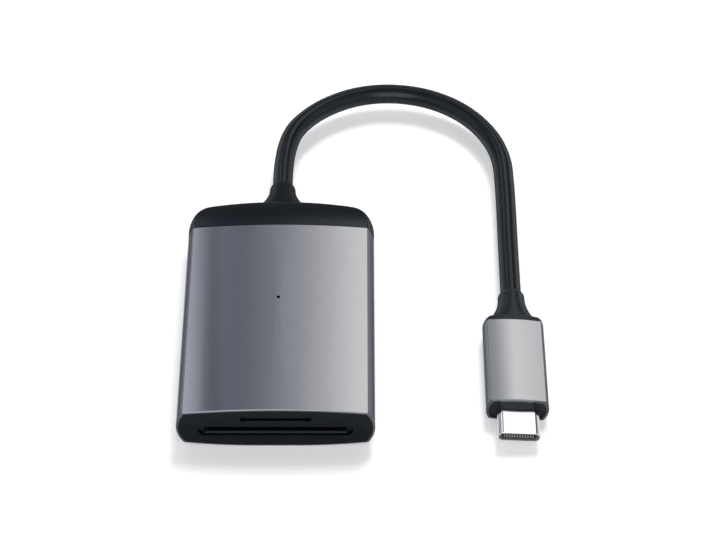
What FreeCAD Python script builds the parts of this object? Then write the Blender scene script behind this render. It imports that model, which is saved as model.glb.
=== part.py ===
"""Two-slot memory card reader with a short fixed cable that ends in a USB-C plug.

Millimetres. X runs across the body, Y from the card slots to the cable, Z up. The origin lies under the
middle of the body, on the surface that it rests on.
"""
import FreeCAD
import Part
import math
import os

Vector = FreeCAD.Vector

# Body, as seen from outside
BODY_WIDTH = 38.0
BODY_HEIGHT = 10.8
SLEEVE_LENGTH = 49.0
CAP_LENGTH = 8.55
BODY_CROWN = 1.0
BODY_BULGE = 1.3
BODY_EDGE_RADIUS = 0.45
REST_STRIP_WIDTH = 8.0
SLEEVE_WALL = 1.0
RIM_WIDTH = 0.4
RIM_CHAMFER = 0.15
PINHOLE_DIAMETER = 0.7

# Front bezel, and the fits of the moulded pieces in the sleeve's two ends
BEZEL_THICKNESS = 1.6
BEZEL_SPIGOT = 1.5
SPIGOT_WALL = 0.8
BEZEL_TAB_GAP = 0.5
SEAT_CLEARANCE = 0.05
SPIGOT_CLEARANCE = 0.1
MOUTH_DEPTH = 0.53
LARGE_MOUTH_WIDTH = 29.6
LARGE_MOUTH_HEIGHT = 2.55
LARGE_THROAT_WIDTH = 26.9
LIP_CHAMFER = 0.31
SMALL_MOUTH_WIDTH = 12.3
SMALL_MOUTH_HEIGHT = 0.8
SMALL_MOUTH_DOT = 1.35
SMALL_THROAT_WIDTH = 12.0

# Rear cap
CAP_CORNER_RADIUS = 5.4
CAP_ARCH_RADIUS = 88.0
CAP_ROLL_RADIUS = 40.0
CAP_REAR_WALL = 1.8
CAP_SIDE_WALL = 8.0
CAP_ROOF = 1.9
CAP_SPIGOT = 3.0

# Cards, and the room that the sockets leave round them
LARGE_CARD_WIDTH = 24.0
LARGE_CARD_THICKNESS = 2.1
LARGE_CARD_DROP = 6.15
SMALL_CARD_WIDTH = 11.0
SMALL_CARD_THICKNESS = 0.7
CARD_SIDE_PLAY = 0.2
LARGE_CARD_FACE_PLAY = 0.07
SMALL_CARD_FACE_PLAY = 0.1

# Sockets and their leaf contacts
SOCKET_FRONT_GAP = 0.2
LARGE_SOCKET_DEPTH = 23.2
LARGE_SOCKET_BASE = 0.5
LARGE_SOCKET_RAIL = 1.2
LARGE_COVER_SHEET = 0.2
LARGE_CONTACT_COUNT = 9
LARGE_CONTACT_PITCH = 2.5
LARGE_CONTACT_WIDTH = 0.8
LARGE_CONTACT_LENGTH = 5.6
LARGE_CONTACT_INSET = 0.8
SMALL_SOCKET_DEPTH = 14.0
SMALL_SOCKET_BASE = 0.38
SMALL_SOCKET_RAIL = 0.9
SMALL_COVER_SHEET = 0.15
SMALL_CONTACT_COUNT = 8
SMALL_CONTACT_PITCH = 1.1
SMALL_CONTACT_WIDTH = 0.4
SMALL_CONTACT_LENGTH = 3.6
SMALL_CONTACT_INSET = 0.6
CONTACT_TAIL = 1.0
CONTACT_TIP = 0.8
CONTACT_SHEET = 0.12
CONTACT_PRESS = 0.1
CONTACT_WINDOW_PLAY = 0.15

# Main board and what is soldered to it
BOARD_THICKNESS = 0.8
BOARD_SIDE_GAP = 0.7
BOARD_END_CLEARANCE = 0.1
RAIL_CLEARANCE = 0.05
RAIL_THICKNESS = 0.7
RAIL_GRIP = 1.0
LED_PLACE = (0.0, 0.2)
LED_SIZE = (1.6, 0.8, 0.6)
LIGHT_PIPE_DIAMETER = 3.0
LIGHT_PIPE_GAP = 0.2
LIGHT_PIPE_POCKET_PLAY = 0.15
CONTROLLER_PLACE = (6.5, 7.0)
CONTROLLER_SIZE = (8.0, 8.0, 0.85)
FLASH_PLACE = (-2.6, 6.5)
FLASH_SIZE = (3.0, 2.0, 0.6)
CRYSTAL_PLACE = (12.4, 7.0)
CRYSTAL_SIZE = (2.5, 3.2, 0.7)
INDUCTOR_PLACE = (-11.6, 7.0)
INDUCTOR_SIZE = (3.0, 3.0, 1.5)
INDUCTOR_CORNER = 0.5
REGULATOR_PLACE = (-7.6, 7.0)
REGULATOR_SIZE = (2.9, 1.6, 1.1)
REGULATOR_LEG_SIZE = (0.4, 0.6, 0.2)
REGULATOR_LEG_PITCH = 0.95
REGULATOR_LEGS_PER_SIDE = 3
CAPACITOR_SIZE = (1.0, 0.5, 0.5)
CAPACITOR_PLACES = [(-10.0, 10.2), (-7.6, 10.2), (-5.2, 10.2), (-2.6, 10.2), (-10.0, 3.6), (-5.2, 3.6),
                    (0.4, 12.4), (3.4, 12.4), (9.4, 12.4), (12.4, 12.4)]
RESISTOR_SIZE = (1.0, 0.5, 0.35)
RESISTOR_PLACES = [(3.2, 0.6), (5.2, 0.6), (8.4, 1.6), (10.4, 1.6), (12.4, 1.6), (12.4, 10.4),
                   (-12.0, 10.2), (-12.0, 3.6)]

# Cable, its strain relief at the body and its conductors
CABLE_DIAMETER = 4.15
CABLE_GRIP_BODY = 12.5
CABLE_GRIP_PLUG = 12.4
ARC_SHARE = 0.45
BOOT_NECK_RADIUS = 2.7
BOOT_TIP_LENGTH = 1.0
BOOT_TIP_LIP = 0.1
BODY_BOOT_LENGTH = 7.16
BODY_BOOT_FLARE = 3.25
BODY_BOOT_FLARE_POWER = 2.0
BODY_BOOT_BASE_HEIGHT = 5.8
BODY_BOOT_FLANGE_LIP = 0.5
BODY_BOOT_FLANGE = 1.2
WIRE_DIAMETER = 0.6
WIRE_SIDES = 8
WIRES_PER_ROW = 4
WIRE_PITCH = 0.85
WIRE_ROW_GAP = 0.84
WIRE_LEAD = 1.2
WIRE_PAD_PITCH = 1.5
WIRE_RISE = 1.6
WIRE_LAP = 1.6
SOLDER_GAP = 0.02

# Plug, about its own axis
PLUG_X = 46.5
PLUG_FRONT = -22.53
PLUG_ROLL_DEG = 3.5
PLUG_WIDTH = 12.2
PLUG_HEIGHT = 6.2
PLUG_SLEEVE_LENGTH = 21.05
PLUG_CROWN = 0.4
PLUG_BULGE = 0.75
PLUG_EDGE_RADIUS = 0.25
PLUG_WALL = 0.5
PLUG_CHAMFER = 0.1
NOSE_THICKNESS = 3.0
NOSE_RECESS = 0.15
COLLAR_LENGTH = 2.2
COLLAR_CORNER_RADIUS = 1.9
COLLAR_ARCH_RADIUS = 24.0
COLLAR_ROLL_RADIUS = 14.0
COLLAR_SPIGOT = 3.0
PLUG_BOOT_LENGTH = 8.03
PLUG_BOOT_ROOT = 1.2
PLUG_BOOT_FLARE = 2.7
PLUG_BOOT_FLARE_POWER = 2.2
PLUG_BOOT_BASE_HEIGHT = 5.3
SHELL_WIDTH = 8.25
SHELL_HEIGHT = 2.4
SHELL_REACH = 6.65
SHELL_ROOT = 8.0
SHELL_SHEET = 0.2
SHELL_TIP_RADIUS = 0.12
INSULATOR_RECESS = 0.15
INSULATOR_ROOT = 6.5
CAVITY_WIDTH = 6.8
CAVITY_HEIGHT = 1.3
CAVITY_DEPTH = 6.0
PLUG_CONTACTS_PER_ROW = 12
PLUG_CONTACT_PITCH = 0.5
PLUG_CONTACT_WIDTH = 0.24
PLUG_CONTACT_SHEET = 0.12
PLUG_CONTACT_SET_BACK = 0.3
PLUG_CONTACT_TAIL = 2.0
CHANNEL_PLAY = 0.04
CHANNEL_DEPTH = 0.2
LATCH_SHEET = 0.2
LATCH_HEIGHT = 0.7
LATCH_SET_BACK = 0.6
LATCH_BUMP = 0.25
LATCH_BUMP_LENGTH = 1.2
PADDLE_WIDTH = 7.2
PADDLE_THICKNESS = 1.0
PADDLE_LENGTH = 7.0
PADDLE_GAP = 0.3
PADDLE_CHIP_SIZE = (2.0, 2.0, 0.6)
PADDLE_CHIP_INSET = 3.6
PADDLE_CAPACITOR_PITCH = 4.4

# Number of steps that the strain reliefs are drawn in
TRUMPET_STEPS = 4

# Places that follow from the sizes above
BODY_LENGTH = SLEEVE_LENGTH + CAP_LENGTH
FRONT = -BODY_LENGTH / 2
SLEEVE_END = FRONT + SLEEVE_LENGTH
REAR = BODY_LENGTH / 2
BODY_MIDDLE = BODY_HEIGHT / 2
BEZEL_BACK = FRONT + BEZEL_THICKNESS
SOCKET_FRONT = BEZEL_BACK + SOCKET_FRONT_GAP
BOARD_WIDTH = BODY_WIDTH - 2 * (SLEEVE_WALL + BOARD_SIDE_GAP)
BOARD_FRONT = BEZEL_BACK + BEZEL_SPIGOT + BOARD_END_CLEARANCE
BOARD_REAR = SLEEVE_END - CAP_SPIGOT - BOARD_END_CLEARANCE
LARGE_CHANNEL = LARGE_CARD_THICKNESS + 2 * LARGE_CARD_FACE_PLAY
LARGE_CARD_LEVEL = BODY_HEIGHT - LARGE_CARD_DROP
LARGE_CHANNEL_BOTTOM = LARGE_CARD_LEVEL - LARGE_CHANNEL / 2
LARGE_CHANNEL_TOP = LARGE_CARD_LEVEL + LARGE_CHANNEL / 2
LARGE_CHANNEL_WIDTH = LARGE_CARD_WIDTH + 2 * CARD_SIDE_PLAY
LARGE_SOCKET_WIDTH = LARGE_CHANNEL_WIDTH + 2 * LARGE_SOCKET_RAIL
LARGE_SOCKET_REAR = SOCKET_FRONT + LARGE_SOCKET_DEPTH
LARGE_CONTACT_REAR = LARGE_SOCKET_REAR - LARGE_SOCKET_RAIL - LARGE_CONTACT_INSET
BOARD_BOTTOM = LARGE_CHANNEL_TOP + LARGE_SOCKET_BASE
BOARD_TOP = BOARD_BOTTOM + BOARD_THICKNESS
SMALL_CHANNEL_BOTTOM = BOARD_TOP + SMALL_SOCKET_BASE
SMALL_CHANNEL_TOP = SMALL_CHANNEL_BOTTOM + SMALL_CARD_THICKNESS + 2 * SMALL_CARD_FACE_PLAY
SMALL_CARD_LEVEL = (SMALL_CHANNEL_BOTTOM + SMALL_CHANNEL_TOP) / 2
SMALL_CHANNEL_WIDTH = SMALL_CARD_WIDTH + 2 * CARD_SIDE_PLAY
SMALL_SOCKET_WIDTH = SMALL_CHANNEL_WIDTH + 2 * SMALL_SOCKET_RAIL
SMALL_SOCKET_REAR = SOCKET_FRONT + SMALL_SOCKET_DEPTH
SMALL_CONTACT_REAR = SMALL_SOCKET_REAR - SMALL_SOCKET_RAIL - SMALL_CONTACT_INSET
CABLE_RADIUS = CABLE_DIAMETER / 2
WIRE_RADIUS = WIRE_DIAMETER / 2
BODY_BOOT_END = REAR + BODY_BOOT_LENGTH
CABLE_BODY_END = BODY_BOOT_END - CABLE_GRIP_BODY
CAP_WALL_FACE = REAR - CAP_REAR_WALL
BODY_BOOT_BASE_WIDTH = 2 * (BOOT_NECK_RADIUS + BODY_BOOT_FLARE)
PLUG_REAR = PLUG_FRONT + PLUG_SLEEVE_LENGTH
PLUG_BOOT_BASE = PLUG_REAR + COLLAR_LENGTH - PLUG_BOOT_ROOT
PLUG_BOOT_END = PLUG_BOOT_BASE + PLUG_BOOT_LENGTH
CABLE_PLUG_END = PLUG_BOOT_END - CABLE_GRIP_PLUG
PLUG_CROWN_RADIUS = ((PLUG_WIDTH / 2 - PLUG_BULGE) ** 2 + PLUG_CROWN ** 2) / (2 * PLUG_CROWN)
PLUG_LIFT = (PLUG_CROWN_RADIUS - PLUG_HEIGHT / 2) * (1 - math.cos(math.radians(PLUG_ROLL_DEG)))
PLUG_MIDDLE = PLUG_HEIGHT / 2 + PLUG_LIFT
SHELL_TIP = PLUG_FRONT - SHELL_REACH
INSULATOR_FRONT = SHELL_TIP + INSULATOR_RECESS
INSULATOR_REAR = PLUG_FRONT + INSULATOR_ROOT
CAVITY_END = INSULATOR_FRONT + CAVITY_DEPTH
PADDLE_FRONT = INSULATOR_REAR + PADDLE_GAP
PADDLE_REAR = PADDLE_FRONT + PADDLE_LENGTH
PADDLE_TOP = PADDLE_THICKNESS / 2

# Route of the free cable, chosen by hand: out of the body's strain relief, round, and back to the plug
CABLE_ROUTE = [
    Vector(0.0, BODY_BOOT_END, BODY_MIDDLE),
    Vector(0.0, 49.6, BODY_MIDDLE),
    Vector(5.7, 60.4, 5.1),
    Vector(16.7, 66.6, 4.8),
    Vector(29.2, 66.4, 4.6),
    Vector(39.9, 60.0, 4.4),
    Vector(46.3, 49.1, 4.1),
    Vector(46.7, 35.8, 3.6),
    Vector(PLUG_X, 22.2, PLUG_MIDDLE),
    Vector(PLUG_X, PLUG_BOOT_END, PLUG_MIDDLE),
]


def line(start, end):
    return Part.LineSegment(start, end).toShape()


def arc(start, middle, end):
    return Part.Arc(start, middle, end).toShape()


def block(x, y, z):
    """Box from three (low, high) pairs."""
    return Part.makeBox(x[1] - x[0], y[1] - y[0], z[1] - z[0], Vector(x[0], y[0], z[0]))


def span(width, middle=0.0):
    """The (low, high) pair of a width about its middle."""
    return middle - width / 2, middle + width / 2


def chip(place, size, level):
    """Box that stands on a board, centred on its place."""
    return block(span(size[0], place[0]), span(size[1], place[1]), (level, level + size[2]))


def centred_row(count, pitch):
    """Places of a row of like things, spaced evenly about zero."""
    return [(index - (count - 1) / 2) * pitch for index in range(count)]


def sagitta(radius, distance):
    """Drop of an arc at a distance from its top."""
    return radius - math.sqrt(radius ** 2 - distance ** 2)


def arc_radius(rise, half_chord):
    return (half_chord ** 2 + rise ** 2) / (2 * rise)


def underside(strip, crown, half_width, level_bottom, side, y):
    """Arc from the flat strip under the middle out to one lower corner, as its three points."""
    run = half_width - strip / 2
    radius = arc_radius(crown, run)
    half_turn = math.asin(run / radius) / 2
    middle = Vector(side * (strip / 2 + radius * math.sin(half_turn)), y,
                    level_bottom + radius * (1 - math.cos(half_turn)))
    corner = Vector(side * half_width, y, level_bottom + crown)
    return Vector(side * strip / 2, y, level_bottom), middle, corner


def crowned_section(half_width, half_height, crown, bulge, strip, level, y):
    """Face across Y: crowned top and bottom, bulged sides, and a flat strip under the middle."""
    corner = half_width - bulge
    high = level + half_height - crown
    low = level - half_height + crown
    right = underside(strip, crown, corner, level - half_height, 1, y)
    left = underside(strip, crown, corner, level - half_height, -1, y)
    edges = [
        arc(Vector(-corner, y, high), Vector(0, y, level + half_height), Vector(corner, y, high)),
        arc(Vector(corner, y, high), Vector(half_width, y, level), Vector(corner, y, low)),
        arc(right[2], right[1], right[0]),
        arc(left[0], left[1], left[2]),
        arc(Vector(-corner, y, low), Vector(-half_width, y, level), Vector(-corner, y, high)),
    ]
    if strip > 0:
        edges.insert(3, line(right[0], left[0]))
    return Part.Face(Part.Wire(edges))


def body_length(inset, start, end):
    """Length of the body's section, drawn in from the outside by an inset."""
    face = crowned_section(BODY_WIDTH / 2 - inset, BODY_HEIGHT / 2 - inset, BODY_CROWN, BODY_BULGE,
                           REST_STRIP_WIDTH, BODY_MIDDLE, start)
    return face.extrude(Vector(0, end - start, 0))


def plug_length(inset, start, end):
    """Length of the plug's section about its own axis, drawn in by an inset."""
    face = crowned_section(PLUG_WIDTH / 2 - inset, PLUG_HEIGHT / 2 - inset, PLUG_CROWN, PLUG_BULGE,
                           0, 0, start)
    return face.extrude(Vector(0, end - start, 0))


def soften_sleeve(prism, corner, edge_radius, chamfer):
    """Round the four long edges of a prism and chamfer the rims at its two ends."""
    length = prism.BoundBox.YLength
    long_edges = []
    for edge in prism.Edges:
        is_corner = abs(abs(edge.CenterOfMass.x) - corner) < edge_radius
        if is_corner and edge.BoundBox.YLength > length / 2:
            long_edges.append(edge)
    rounded = prism.makeFillet(edge_radius, long_edges)
    rims = [edge for edge in rounded.Edges if edge.BoundBox.YLength < chamfer / 2]
    return rounded.makeChamfer(chamfer, rims)


def stadium(width, height, level, start, end):
    """Slot shape with round ends, carried along Y."""
    radius = height / 2
    flat = width / 2 - radius
    low = level - radius
    high = level + radius
    outline = Part.Wire([
        line(Vector(-flat, start, high), Vector(flat, start, high)),
        arc(Vector(flat, start, high), Vector(width / 2, start, level), Vector(flat, start, low)),
        line(Vector(flat, start, low), Vector(-flat, start, low)),
        arc(Vector(-flat, start, low), Vector(-width / 2, start, level), Vector(-flat, start, high)),
    ])
    return Part.Face(outline).extrude(Vector(0, end - start, 0))


def funnel(*sections):
    """Straight-sided opening through a row of (width, bottom, top, y) rectangles."""
    outlines = []
    for width, bottom, top, y in sections:
        corners = [(-width / 2, bottom), (width / 2, bottom), (width / 2, top), (-width / 2, top)]
        points = [Vector(x, y, z) for x, z in corners]
        outlines.append(Part.makePolygon(points + points[:1]))
    return Part.makeLoft(outlines, True, True)


def rod(radius, level, start, end, x=0.0):
    """Round bar along Y."""
    return Part.makeCylinder(radius, end - start, Vector(x, start, level), Vector(0, 1, 0))


def ellipse(half_width, half_height, level, y):
    curve = Part.Ellipse(Vector(0, 0, 0), half_width, half_height).toShape()
    curve.rotate(Vector(0, 0, 0), Vector(1, 0, 0), 90)
    curve.translate(Vector(0, y, level))
    return Part.Wire(curve)


def oval(half_width, half_height, level, start, end):
    """Elliptical bar along Y."""
    return Part.Face(ellipse(half_width, half_height, level, start)).extrude(Vector(0, end - start, 0))


def bulged_profile(axis, inner, outer, reach, side_radius):
    """Upright face beside a vertical axis, straight inside and bulged outside."""
    drop = sagitta(side_radius, reach)
    inner_low = axis + Vector(inner, 0, -reach)
    inner_high = axis + Vector(inner, 0, reach)
    outer_low = axis + Vector(outer - drop, 0, -reach)
    outer_high = axis + Vector(outer - drop, 0, reach)
    return Part.Face(Part.Wire([
        line(inner_low, inner_high),
        line(inner_high, outer_high),
        arc(outer_high, axis + Vector(outer, 0, 0), outer_low),
        line(outer_low, inner_low),
    ]))


def crown_slabs(half_width, half_height, crown, corner, strip, level, front, rear, roll_radius):
    """Two slabs wider than a cap, one with its crowned top and one with its crowned bottom, both rolled
    in towards the rear."""
    top = level + half_height
    bottom = level - half_height
    top_drop = sagitta(arc_radius(crown, corner), half_width)
    low_rise = sagitta(arc_radius(crown, corner - strip / 2), half_width - strip / 2)
    right = underside(strip, low_rise, half_width, bottom, 1, front)
    left = underside(strip, low_rise, half_width, bottom, -1, front)
    top_right = Vector(half_width, front, top - top_drop)
    top_left = Vector(-half_width, front, top - top_drop)
    low_right = Vector(half_width, front, bottom)
    low_left = Vector(-half_width, front, bottom)
    high_right = Vector(half_width, front, top)
    high_left = Vector(-half_width, front, top)
    top_profile = Part.Face(Part.Wire([
        arc(top_left, Vector(0, front, top), top_right),
        line(top_right, low_right),
        line(low_right, low_left),
        line(low_left, top_left),
    ]))
    bottom_edges = [
        line(high_left, high_right),
        line(high_right, right[2]),
        arc(right[2], right[1], right[0]),
        arc(left[0], left[1], left[2]),
        line(left[2], high_left),
    ]
    if strip > 0:
        bottom_edges.insert(3, line(right[0], left[0]))
    bottom_profile = Part.Face(Part.Wire(bottom_edges))
    turn = math.degrees(math.asin((rear - front) / (roll_radius - 2 * half_height)))
    top_axis = Vector(0, front, top - roll_radius)
    bottom_axis = Vector(0, front, bottom + roll_radius)
    return [top_profile.revolve(top_axis, Vector(-1, 0, 0), turn),
            bottom_profile.revolve(bottom_axis, Vector(1, 0, 0), turn)]


def end_cap(half_width, half_height, crown, bulge, strip, level, front, rear, corner_radius, arch_radius,
            roll_radius, edge_radius):
    """Solid cap whose bulged sides run on round its corners and its arched rear, with its top and bottom
    rolled in towards the rear and rounded edges."""
    side_radius = arc_radius(bulge, half_height - crown)
    reach = half_height + edge_radius
    corner_x = half_width - corner_radius
    arch_centre = rear - arch_radius
    corner_y = arch_centre + math.sqrt((arch_radius - corner_radius) ** 2 - corner_x ** 2)
    upright = Vector(0, 0, 1)
    side_axis = Vector(0, front, level)
    side_profile = bulged_profile(side_axis, 0, half_width, reach, side_radius)
    side = side_profile.extrude(Vector(0, corner_y - front, 0))
    corner_axis = Vector(corner_x, corner_y, level)
    corner_profile = bulged_profile(corner_axis, 0, corner_radius, reach, side_radius)
    corner = corner_profile.revolve(corner_axis, upright, 360)
    arch_axis = Vector(0, arch_centre, level)
    half_turn = math.degrees(math.atan2(corner_x, corner_y - arch_centre))
    arch_profile = bulged_profile(arch_axis, corner_y - arch_centre, arch_radius, reach, side_radius)
    arch_profile.rotate(arch_axis, upright, 90 - half_turn)
    arch = arch_profile.revolve(arch_axis, upright, 2 * half_turn)
    halves = [side, corner]
    for half in (side, corner):
        halves.append(half.mirror(Vector(0, 0, 0), Vector(1, 0, 0)))
    barrel = arch.fuse(halves)
    cap = barrel
    for slab in crown_slabs(half_width + bulge, half_height, crown, half_width - bulge, strip, level, front,
                            rear + edge_radius, roll_radius):
        cap = cap.common(slab)
    cap = cap.removeSplitter().Solids[0]
    rim_level = half_height - crown - sagitta(roll_radius, rear - front) - edge_radius
    rims = []
    for edge in cap.Edges:
        box = edge.BoundBox
        is_high_or_low = abs(edge.CenterOfMass.z - level) > rim_level
        is_behind_front = box.YMax > front + edge_radius
        is_off_strip = box.XLength > edge_radius or abs(edge.CenterOfMass.x) > strip
        if is_high_or_low and is_behind_front and is_off_strip:
            rims.append(edge)
    return cap.makeFillet(edge_radius, rims).Solids[0]


def trumpet(level, base, length, base_height, flare, power):
    """Strain relief: oval at its base, drawn in to a round neck with a rounded tip."""
    neck_end = base + length - BOOT_TIP_LENGTH
    sections = []
    for step in range(TRUMPET_STEPS + 1):
        share = 1 - step / TRUMPET_STEPS
        half_width = BOOT_NECK_RADIUS + flare * share ** power
        half_height = BOOT_NECK_RADIUS + (base_height / 2 - BOOT_NECK_RADIUS) * share
        sections.append(ellipse(half_width, half_height, level, neck_end + (base - neck_end) * share))
    horn = Part.makeLoft(sections, True, False)
    tip_radius = CABLE_RADIUS + BOOT_TIP_LIP
    drop = BOOT_NECK_RADIUS - tip_radius
    round_radius = arc_radius(drop, BOOT_TIP_LENGTH)
    half_turn = math.asin(BOOT_TIP_LENGTH / round_radius) / 2
    axis_start = Vector(0, neck_end, level)
    axis_end = Vector(0, neck_end + BOOT_TIP_LENGTH, level)
    neck_edge = axis_start + Vector(BOOT_NECK_RADIUS, 0, 0)
    round_middle = neck_edge + Vector(-sagitta(round_radius, round_radius * math.sin(half_turn)),
                                      round_radius * math.sin(half_turn), 0)
    tip_edge = axis_end + Vector(tip_radius, 0, 0)
    profile = Part.Wire([
        line(axis_start, neck_edge),
        arc(neck_edge, round_middle, tip_edge),
        line(tip_edge, axis_end),
        line(axis_end, axis_start),
    ])
    tip = Part.Face(profile).revolve(axis_start, Vector(0, 1, 0), 360)
    return horn.fuse(tip)


def rounded_path(points):
    """Straight runs joined by the largest tangent arcs that they allow, and the radii of those arcs."""
    edges = []
    radii = []
    start = points[0]
    for before, corner, after in zip(points, points[1:], points[2:]):
        run_in = corner - before
        run_out = after - corner
        turn = run_in.getAngle(run_out)
        reach = ARC_SHARE * min(run_in.Length, run_out.Length)
        radius = reach / math.tan(turn / 2)
        run_in.normalize()
        run_out.normalize()
        inward = (run_out - run_in).normalize()
        arc_start = corner - run_in * reach
        arc_middle = corner + inward * (radius / math.cos(turn / 2) - radius)
        arc_end = corner + run_out * reach
        edges.append(line(start, arc_start))
        edges.append(arc(arc_start, arc_middle, arc_end))
        radii.append(radius)
        start = arc_end
    edges.append(line(start, points[-1]))
    return Part.Wire(edges), radii


def tube(path, radius):
    """Round bar along a path of tangent edges."""
    first = path.OrderedEdges[0]
    start = first.valueAt(first.FirstParameter)
    direction = first.tangentAt(first.FirstParameter)
    profile = Part.Wire(Part.Circle(start, direction, radius).toShape())
    return path.makePipeShell([profile], True, False)


def leaf(x, width, tail, length, board_level, card_level, side):
    """Leaf contact: tail flat on the board, spring arm out to the card, tip turned back to the board."""
    touch = card_level - side * CONTACT_SHEET
    near = [
        (tail, board_level),
        (tail - CONTACT_TAIL, board_level),
        (tail - length + CONTACT_TIP, touch),
        (tail - length, touch - side * CONTACT_SHEET),
    ]
    far = [(y, z + side * CONTACT_SHEET) for y, z in reversed(near)]
    points = [Vector(x - width / 2, y, z) for y, z in near + far]
    return Part.Face(Part.makePolygon(points + points[:1])).extrude(Vector(width, 0, 0))


def leaf_window(x, width, tail, length, levels):
    """Opening in a socket's base that a leaf contact springs through."""
    return block(span(width + 2 * CONTACT_WINDOW_PLAY, x),
                 (tail - length - CONTACT_WINDOW_PLAY, tail + CONTACT_WINDOW_PLAY), levels)


def on_plug(shape):
    """Lay a piece drawn about the plug's own axis where the plug lies, rolled a little to its right."""
    laid = shape.copy()
    laid.rotate(Vector(0, 0, 0), Vector(0, 1, 0), PLUG_ROLL_DEG)
    laid.translate(Vector(PLUG_X, 0, PLUG_MIDDLE))
    return laid


def board_rails():
    """Ledges in the sleeve: the board rests on the lower pair and slides in under the upper pair."""
    lower = (BOARD_BOTTOM - RAIL_THICKNESS, BOARD_BOTTOM)
    upper = (BOARD_TOP + RAIL_CLEARANCE, BOARD_TOP + RAIL_CLEARANCE + RAIL_THICKNESS)
    inner = BOARD_WIDTH / 2 - RAIL_GRIP
    rails = []
    for levels in (lower, upper):
        rails.append(block((-BODY_WIDTH / 2, -inner), (BOARD_FRONT, BOARD_REAR), levels))
        rails.append(block((inner, BODY_WIDTH / 2), (BOARD_FRONT, BOARD_REAR), levels))
    return rails


def body_sleeve():
    outside = soften_sleeve(body_length(0, FRONT, SLEEVE_END), BODY_WIDTH / 2 - BODY_BULGE,
                            BODY_EDGE_RADIUS, RIM_CHAMFER)
    rebate = body_length(RIM_WIDTH, FRONT, BEZEL_BACK)
    cavity = body_length(SLEEVE_WALL, BEZEL_BACK, SLEEVE_END).cut(board_rails())
    pinhole = Part.makeCylinder(PINHOLE_DIAMETER / 2, 2 * SLEEVE_WALL,
                                Vector(LED_PLACE[0], LED_PLACE[1], BODY_HEIGHT - 1.5 * SLEEVE_WALL))
    return outside.cut([rebate, cavity, pinhole])


def front_bezel():
    flange = body_length(RIM_WIDTH + SEAT_CLEARANCE, FRONT, BEZEL_BACK)
    spigot_end = BEZEL_BACK + BEZEL_SPIGOT
    spigot = body_length(SLEEVE_WALL + SPIGOT_CLEARANCE, BEZEL_BACK, spigot_end)
    spigot_bore = body_length(SLEEVE_WALL + SPIGOT_CLEARANCE + SPIGOT_WALL, BEZEL_BACK, spigot_end)
    tab_gap = block(span(LARGE_SOCKET_WIDTH + 2 * (LARGE_COVER_SHEET + BEZEL_TAB_GAP)),
                    (BEZEL_BACK, spigot_end), (0, BODY_HEIGHT))
    mouth_end = FRONT + MOUTH_DEPTH
    large_mouth = stadium(LARGE_MOUTH_WIDTH, LARGE_MOUTH_HEIGHT, LARGE_CHANNEL_TOP - LARGE_MOUTH_HEIGHT / 2,
                          FRONT, mouth_end)
    lip_width = LARGE_THROAT_WIDTH + 2 * LIP_CHAMFER
    large_throat = funnel(
        (lip_width, LARGE_CHANNEL_BOTTOM - LIP_CHAMFER, LARGE_CHANNEL_TOP, mouth_end),
        (LARGE_THROAT_WIDTH, LARGE_CHANNEL_BOTTOM, LARGE_CHANNEL_TOP, mouth_end + LIP_CHAMFER),
        (LARGE_CHANNEL_WIDTH, LARGE_CHANNEL_BOTTOM, LARGE_CHANNEL_TOP, BEZEL_BACK),
    )
    small_mouth = block(span(SMALL_MOUTH_WIDTH), (FRONT, mouth_end),
                        span(SMALL_MOUTH_HEIGHT, SMALL_CARD_LEVEL))
    small_dots = [rod(SMALL_MOUTH_DOT / 2, SMALL_CARD_LEVEL, FRONT, mouth_end, x)
                  for x in span(SMALL_MOUTH_WIDTH)]
    small_throat = funnel(
        (SMALL_THROAT_WIDTH, SMALL_CHANNEL_BOTTOM, SMALL_CHANNEL_TOP, mouth_end),
        (SMALL_CHANNEL_WIDTH, SMALL_CHANNEL_BOTTOM, SMALL_CHANNEL_TOP, BEZEL_BACK),
    )
    bezel = flange.fuse(spigot.cut([spigot_bore, tab_gap]))
    return bezel.cut([large_mouth, large_throat, small_mouth, small_throat] + small_dots)


def body_boot_base(start, end, lip=0.0):
    """Oval foot of the body's strain relief, which fills its hole in the rear cap."""
    return oval(BODY_BOOT_BASE_WIDTH / 2 + lip, BODY_BOOT_BASE_HEIGHT / 2 + lip, BODY_MIDDLE, start, end)


def rear_cap():
    cap = end_cap(BODY_WIDTH / 2, BODY_HEIGHT / 2, BODY_CROWN, BODY_BULGE, REST_STRIP_WIDTH, BODY_MIDDLE,
                  SLEEVE_END, REAR, CAP_CORNER_RADIUS, CAP_ARCH_RADIUS, CAP_ROLL_RADIUS, BODY_EDGE_RADIUS)
    spigot_end = SLEEVE_END - CAP_SPIGOT
    spigot = body_length(SLEEVE_WALL + SPIGOT_CLEARANCE, spigot_end, SLEEVE_END)
    spigot_bore = body_length(SLEEVE_WALL + SPIGOT_CLEARANCE + SPIGOT_WALL, spigot_end, SLEEVE_END)
    cavity = block(span(BODY_WIDTH - 2 * CAP_SIDE_WALL), (SLEEVE_END, CAP_WALL_FACE),
                   (CAP_ROOF, BODY_HEIGHT - CAP_ROOF))
    return cap.fuse(spigot.cut(spigot_bore)).cut([cavity, body_boot_base(CAP_WALL_FACE, REAR)])


def cable_boot():
    horn = trumpet(BODY_MIDDLE, REAR, BODY_BOOT_LENGTH, BODY_BOOT_BASE_HEIGHT, BODY_BOOT_FLARE,
                   BODY_BOOT_FLARE_POWER)
    flange_end = CAP_WALL_FACE - BODY_BOOT_FLANGE
    base = body_boot_base(CAP_WALL_FACE, REAR)
    flange = body_boot_base(flange_end, CAP_WALL_FACE, BODY_BOOT_FLANGE_LIP)
    return horn.fuse([base, flange]).cut(rod(CABLE_RADIUS, BODY_MIDDLE, flange_end, BODY_BOOT_END))


def main_board():
    return block(span(BOARD_WIDTH), (BOARD_FRONT, BOARD_REAR), (BOARD_BOTTOM, BOARD_TOP))


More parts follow.
